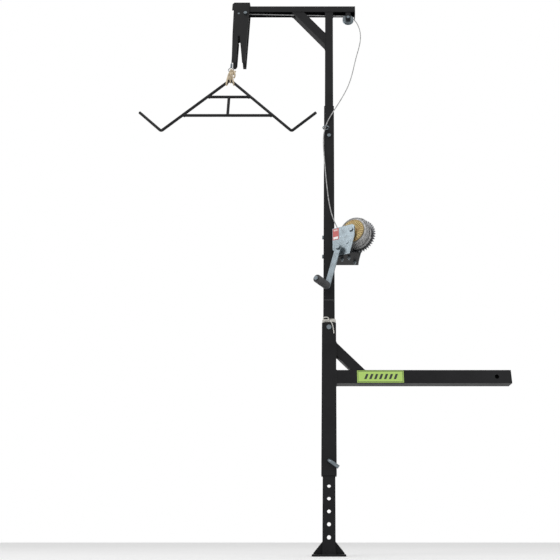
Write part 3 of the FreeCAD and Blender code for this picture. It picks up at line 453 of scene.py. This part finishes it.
# ---------------------------------------------------------------- cable and rope
def make_drop_cable():
    """The cable from the head's sheave down to the sleeve; gives the point where it ends."""
    low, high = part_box("drop_cable")
    centre = (low + high) / 2
    top = Vector((centre.x, centre.y, high.z))
    bottom = Vector((centre.x, centre.y, low.z))
    spans = 12
    run = [top.lerp(bottom, i / spans) for i in range(spans + 1)]
    piece = twisted("drop_cable_strands", [run], CABLE_RADIUS, 6, 22 * MM, "cable_steel")
    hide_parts("drop_cable")
    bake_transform(piece)
    return bottom


def make_cable_end(top):
    """A crimped sleeve and a soft eye in the cable, in the space of the CAD eye."""
    eye_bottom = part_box("cable_eye")[LOW].z
    sleeve_length = 22
    sleeve_low = top - UP * sleeve_length * MM
    loop_centre = Vector((top.x, top.y, eye_bottom + 14.2 * MM))
    strand_apart, inside_sleeve = 0.0018, 0.003
    last = 10
    loop = [sleeve_low + Vector((strand_apart, 0, inside_sleeve))]
    for i in range(last + 1):
        angle = math.radians(60 - 30 * i)
        width = 12.0 if i in (0, last) else 12.4
        loop.append(loop_centre + Vector((math.cos(angle) * width, 0, math.sin(angle) * 12)) * MM)
    loop.append(sleeve_low + Vector((-strand_apart, 0, inside_sleeve)))
    eye = twisted("cable_eye_strands", [loop], CABLE_RADIUS, 6, 20 * MM, "cable_steel", step=1.2 * MM)
    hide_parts("cable_eye")
    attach(eye, "sling")
    vertices, faces = [], []
    levels = range(sleeve_length + 1)
    path = [sleeve_low.lerp(top, i / sleeve_length) for i in levels]
    radius, crimp_depth, crimp_pitch = 5.0, 0.9, 7.3
    radii = [(radius - crimp_depth * max(0, math.cos(i * 2 * math.pi / crimp_pitch)) ** 3) * MM
             for i in levels]
    radii[0] = radii[-1] = 4.0 * MM
    add_tube(vertices, faces, path, radii, 20)
    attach(add_mesh("cable_crimp_sleeve", vertices, faces, "zinc"), "sling")


def rope_turn(apex, through, index, shift):
    """One turn, from the cable's eye down round the rod, off to one side by a shift."""
    bottom = apex.z - abs(shift) * MM - 12.5 * MM
    turn = []
    for angle in full_turn(16):
        level = (1 + math.cos(angle)) / 2         # 1 in the eye, 0 under the rod
        height = bottom + (through + index * 1.5 * MM - bottom) * level
        swell = 11.5 + 2.0 * math.sin(3 * angle + index)
        across = apex.x + (shift * (1 - level) ** 1.3 + 2.4 * (index - 1)) * MM
        turn.append(Vector((across, math.sin(angle) * swell * MM, height)))
    return turn


def overhand_knot(centre):
    """A closed trefoil about a point."""
    size = 3.4
    return [centre + Vector((math.sin(t) + 2 * math.sin(2 * t), -1.4 * math.sin(3 * t),
                             math.cos(t) - 2 * math.cos(2 * t))) * size * MM
            for t in full_turn(24)]


def make_rope():
    """Three rope turns through the cable's eye and round the gambrel's apex, with a knot."""
    eye_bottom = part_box("cable_eye")[LOW].z
    apex = joint_point("gambrel_tilt")
    through = eye_bottom + 8.2 * MM
    shifts = (-15.0, 1.0, 16.0)
    runs = [rope_turn(apex, through, index, shift) for index, shift in enumerate(shifts)]
    knot_centre = Vector((apex.x + 13 * MM, -9 * MM, eye_bottom - 8 * MM))
    runs.append(overhand_knot(knot_centre))
    tail = [knot_centre, knot_centre + Vector((7, -3, -8)) * MM,
            knot_centre + Vector((9, -3, -22)) * MM, knot_centre + Vector((6, -2, -34)) * MM]
    lead = [Vector((apex.x - 2 * MM, -4 * MM, through + 4 * MM)),
            Vector((apex.x + 6 * MM, -10 * MM, through - 2 * MM)), knot_centre]
    runs += [tail, lead]
    piece = twisted("rope_sling_laid", runs, 4.2 * MM, 3, 17 * MM, "rope", sides=8)
    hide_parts("rope_sling")
    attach(piece, "sling")


def make_lanyard():
    """Cord wound round the swivel post, with a bow and a tail hanging in front."""
    low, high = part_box("swivel_post")
    half = (high.x - low.x) / 2 / MM + 2.4
    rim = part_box("lower_mast")[HIGH].z
    wraps, steps, rise = 3, 24, 4.6
    turns = []
    for i in range(wraps * steps + 1):
        angle = 2 * math.pi * i / steps + 0.6
        reach = half / max(abs(math.cos(angle)), abs(math.sin(angle)))
        reach = min(reach, half * 1.27)
        height = rim + (2.4 + rise * i / steps) * MM
        turns.append(Vector((reach * math.cos(angle), reach * math.sin(angle), 0)) * MM + UP * height)
    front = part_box("lower_mast")[LOW].y - 3 * MM
    tail = [turns[0].copy(), Vector((6 * MM, front - 1 * MM, rim + 7 * MM)),
            Vector((13 * MM, front, rim - 8 * MM)), Vector((17 * MM, front, rim - 26 * MM)),
            Vector((19 * MM, front, rim - 44 * MM))]
    loop_base = Vector((-6 * MM, front, rim + 10 * MM))
    bow = [loop_base + Vector((math.cos(t) * 11 - 6, 0, math.sin(t) * 7 + 5)) * MM
           for t in full_turn(12)]
    piece = twisted("lanyard_cord_wound", [turns, tail, bow], 2.0 * MM, 3, 9 * MM, "cord")
    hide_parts("lanyard_cord")
    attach(piece, "base")


def ring_path(radius, along, turns=1.0, start=0.0, rise=0.0, drift=0.0):
    """Points round the drum's axis; rise is travel along it and drift is outwards."""
    count = int(40 * turns)
    path = []
    for i in range(count + 1):
        angle = start + 2 * math.pi * turns * i / count
        reach = radius + drift * i / count
        path.append(winch_point(math.cos(angle) * reach, along + rise * i / count,
                                math.sin(angle) * reach))
    return path


def crossing_turn(index):
    """A loose turn that wanders over the level ones."""
    steps = 30
    turn = []
    for i in range(steps + 1):
        angle = 0.5 + index + 4.1 * i / steps
        radius = 63.4 + 2.4 * math.sin(angle * 2 + index)
        along = -18 + 11 * index + 9 * math.sin(angle + index * 1.7)
        turn.append(winch_point(math.cos(angle) * radius, along, math.sin(angle) * radius))
    return turn


def make_coil():
    """The wire rope wound on the drum: level turns, their buried ends and loose crossing turns."""
    front, back = -21.5, 23.5
    outer_radius, buried_radii = 60.7, (51.0, 55.6)
    lay = 4.55
    count = (back - front) / lay
    runs = [ring_path(outer_radius, front, count, 0.4, back - front)]
    for index, radius in enumerate(buried_radii):
        for end in (front, back):
            runs.append(ring_path(radius, end, start=index, drift=0.4))
    runs += [crossing_turn(index) for index in range(4)]
    piece = twisted("wound_cable_turns", runs, CABLE_RADIUS, 5, 20 * MM, "cable_steel", sides=5,
                    step=4 * MM)
    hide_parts("wound_cable")
    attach(piece, "drum")
    make_coil_core()


def make_coil_core():
    """The solid middle of the coil, which closes the gaps between its turns."""
    profile = ((-23.6, 50.0), (-23.0, 57.0), (-22.0, 58.6), (24.0, 58.6), (25.0, 57.0), (25.6, 50.0))
    vertices, faces = [], []
    add_tube(vertices, faces, [winch_point(0, along, 0) for along, _ in profile],
             [radius * MM for _, radius in profile], 64)
    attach(add_mesh("wound_cable_core", vertices, faces, "cable_steel"), "drum")


def make_drum_ribs():
    """Radial ribs pressed into the drum's front flange."""
    vertices, faces = [], []
    ribs, flange_face = 30, -31.2
    profile = ((22.5, 0.3), (25.0, 1.3), (36.0, 2.1), (46.0, 2.5), (48.0, 0.5))     # reach, radius
    for angle in full_turn(ribs)[:-1]:
        path = [winch_point(math.cos(angle) * reach, flange_face, math.sin(angle) * reach)
                for reach, _ in profile]
        add_tube(vertices, faces, path, [radius * MM for _, radius in profile], 8)
    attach(add_mesh("drum_flange_ribs", vertices, faces, "yellow_zinc"), "drum")


# ---------------------------------------------------------------- welds
def footprint(node, axis, value):
    """The rectangle where a node meets the plane of one axis at a value."""
    tolerance = 0.2 * MM
    touching = [vertex.co for vertex in frame["nodes"][node].data.vertices
                if abs(vertex.co[axis] - value) < tolerance]
    others = [i for i in range(3) if i != axis]
    low = [min(point[i] for point in touching) for i in others]
    high = [max(point[i] for point in touching) for i in others]
    corners = []
    for first, second in ((low[0], low[1]), (high[0], low[1]), (high[0], high[1]), (low[0], high[1])):
        corner = Vector((0, 0, 0))
        corner[axis] = value
        corner[others[0]] = first
        corner[others[1]] = second
        corners.append(corner)
    return corners


def weld_bead(name, corners, body):
    """A painted weld bead with overlapping ripples round a joint."""
    radius, ripple = 2.4, 1.1
    vertices, faces = [], []
    for start, end in zip(corners, corners[1:] + corners[:1]):
        count = max(6, int((end - start).length / (ripple * MM)))
        path = [start.lerp(end, i / count) for i in range(count + 1)]
        radii = [radius * MM * (0.86 + 0.16 * math.sin(i * 1.9) + 0.08 * rng.random())
                 for i in range(count + 1)]
        add_tube(vertices, faces, path, radii, 10)
    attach(add_mesh(name, vertices, faces, "black_frame"), body)


FRAME_WELDS = (      # piece, node, axis of the plane it is welded at, end of the node, body
    ("weld_bar", "hitch_bar", X, LOW, "base"),
    ("weld_bar_brace_mast", "bar_brace", X, LOW, "base"),
    ("weld_bar_brace_bar", "bar_brace", Z, LOW, "base"),
    ("weld_foot", "leg_tube", Z, LOW, "base"),
    ("weld_boom", "top_mast", Z, HIGH, "upper"),
    ("weld_boom_brace_mast", "boom_brace", X, HIGH, "upper"),
    ("weld_boom_brace_boom", "boom_brace", Z, HIGH, "upper"),
)


def make_frame_welds():
    for name, node, axis, end, body in FRAME_WELDS:
        weld_bead(name, footprint(node, axis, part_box(node)[end][axis]), body)


def make_gambrel_welds():
    """A bead round each end of both spreaders, where they meet the bent rod."""
    apex = joint_point("gambrel_tilt")
    steps, ring_radius, ring_depth = 32, 6.6, 5.4
    for name in ("upper_spreader", "lower_spreader"):
        low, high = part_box(name)
        level = (low.z + high.z) / 2
        reach = (apex.z - level) * ROD_SLOPE
        vertices, faces = [], []
        for side in (-1, 1):
            centre = Vector((apex.x + side * (reach - 5.5 * MM), 0, level))
            ring = [centre + Vector((side * math.sin(t) * ring_depth, math.cos(t) * ring_radius,
                                     math.sin(t) * ring_radius)) * MM for t in full_turn(steps)]
            radii = [MM * (1.9 + 0.3 * math.sin(i * 2.1)) for i in range(steps + 1)]
            add_tube(vertices, faces, ring, radii, 8)
        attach(add_mesh("weld_" + name, vertices, faces, "black_frame"), "gambrel")


# ---------------------------------------------------------------- label and sticker
def rectangle(left, low, right, high):
    return [(left, low), (right, low), (right, high), (left, high)]


def slab(name, shapes, to_world, thickness, material):
    """Thin printed shapes: polygons in flat coordinates, raised by a thickness."""
    vertices, faces = [], []
    for shape in shapes:
        first = len(vertices)
        count = len(shape)
        vertices += [to_world(x, y, 0) for x, y in shape]
        vertices += [to_world(x, y, thickness) for x, y in shape]
        faces.append(tuple(first + i for i in reversed(range(count))))
        faces.append(tuple(first + count + i for i in range(count)))
        for i in range(count):
            after = (i + 1) % count
            faces.append((first + i, first + after, first + count + after, first + count + i))
    return add_mesh(name, vertices, faces, material, smooth=False)


def make_label():
    """Plain geometric print: a dark edge line and slanted bars, with no mark or lettering."""
    low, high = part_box("bar_label")
    wide = (high.x - low.x) / MM
    tall = (high.z - low.z) / MM

    def on_label(x, y, out):
        return Vector((low.x, low.y, low.z)) + Vector((x, -out, y)) * MM

    line = 1.6
    edge = 2.5
    shapes = [rectangle(edge, y, wide - edge, y + line) for y in (edge, tall - edge - line)]
    shapes += [rectangle(x, edge, x + line, tall - edge) for x in (edge, wide - edge - line)]
    bars, first, pitch, bar_wide, slant, margin = 7, 26, 18.5, 9, 8, 13
    for i in range(bars):
        x = first + i * pitch
        shapes.append([(x, margin), (x + bar_wide, margin),
                       (x + slant + bar_wide, tall - margin), (x + slant, tall - margin)])
    ink_thickness = 0.12
    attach(slab("label_print", shapes, on_label, ink_thickness, BLACK_VINYL), "base")


def make_sticker_print():
    """A pale band and two rules on the red sticker."""
    sticker_left, sticker_face, sticker_low = -82, -44.6, -32

    def on_plate(x, y, out):
        return winch_point(sticker_left + x, sticker_face - out, sticker_low + y)

    bands = [rectangle(3, 3, 24, 13), rectangle(5, 40, 22, 42), rectangle(5, 44, 22, 46)]
    ink_thickness = 0.1
    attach(slab("sticker_print", bands, on_plate, ink_thickness, WHITE_VINYL), "upper")


# ---------------------------------------------------------------- stage, light and camera
def make_floor():
    """A wide pale floor, just under the foot plate."""
    floor_material, shader = new_material("pale_floor", (0.86, 0.86, 0.87), roughness=0.8)
    cloud = noise(floor_material, coordinates(floor_material), 3.0)
    link(floor_material, ramp(floor_material, cloud, [(0, grey(0.88)), (1, grey(0.93))]),
         shader.inputs["Base Color"])
    mesh = bpy.data.meshes.new("floor")
    reach = 30
    corners = [(x, y, 0) for x, y in rectangle(-reach, -reach, reach, reach)]
    mesh.from_pydata(corners, [], [(0, 1, 2, 3)])
    mesh.materials.append(floor_material)
    floor = bpy.data.objects.new("floor", mesh)
    floor.location.z = -0.5 * MM
    bpy.context.scene.collection.objects.link(floor)


def make_world():
    """An even pale studio: pure white to the camera, and a little dimmer as a light."""
    world = bpy.data.worlds.new("studio")
    world.use_nodes = True
    background = world.node_tree.nodes["Background"]
    background.inputs["Color"].default_value = (1, 1, 1, 1)
    rays = world.node_tree.nodes.new("ShaderNodeLightPath")
    brightness = world.node_tree.nodes.new("ShaderNodeMapRange")
    brightness.inputs["To Min"].default_value = 0.78
    brightness.inputs["To Max"].default_value = 1.0
    world.node_tree.links.new(rays.outputs["Is Camera Ray"], brightness.inputs["Value"])
    world.node_tree.links.new(brightness.outputs["Result"], background.inputs["Strength"])
    bpy.context.scene.world = world
    bpy.context.scene.view_settings.view_transform = "Standard"


def make_light(name, place, power, width):
    """A soft square lamp that points at the middle of the hoist."""
    target = (0, 0, 1.3)
    lamp = bpy.data.lights.new(name, "AREA")
    lamp.energy = power
    lamp.size = width
    light = bpy.data.objects.new(name, lamp)
    light.location = place
    light.rotation_euler = (Vector(target) - Vector(place)).to_track_quat("-Z", "Y").to_euler()
    bpy.context.scene.collection.objects.link(light)


def make_camera():
    """Low in front of the mast and tilted up, so the bar and boom are seen from below."""
    distance, height, tilt = 2.3, 0.046, 23
    lens_camera = bpy.data.cameras.new("camera")
    lens_camera.sensor_width = 36
    lens_camera.lens = 39.6
    lens_camera.shift_x = -0.0875
    camera = bpy.data.objects.new("camera", lens_camera)
    camera.location = (0, -distance, height)
    camera.rotation_euler = (math.radians(90 + tilt), 0, 0)
    bpy.context.scene.collection.objects.link(camera)
    bpy.context.scene.camera = camera


paint_nodes()
round_edges()
cable_bottom = make_drop_cable()
make_cable_end(cable_bottom)
make_rope()
make_lanyard()
make_coil()
make_drum_ribs()
make_frame_welds()
make_gambrel_welds()
make_label()
make_sticker_print()
make_floor()
make_world()
make_light("key", (-2.5, -3.0, 3.6), power=60, width=2.0)
make_light("fill", (2.8, -2.4, 1.6), power=28, width=2.5)
make_camera()
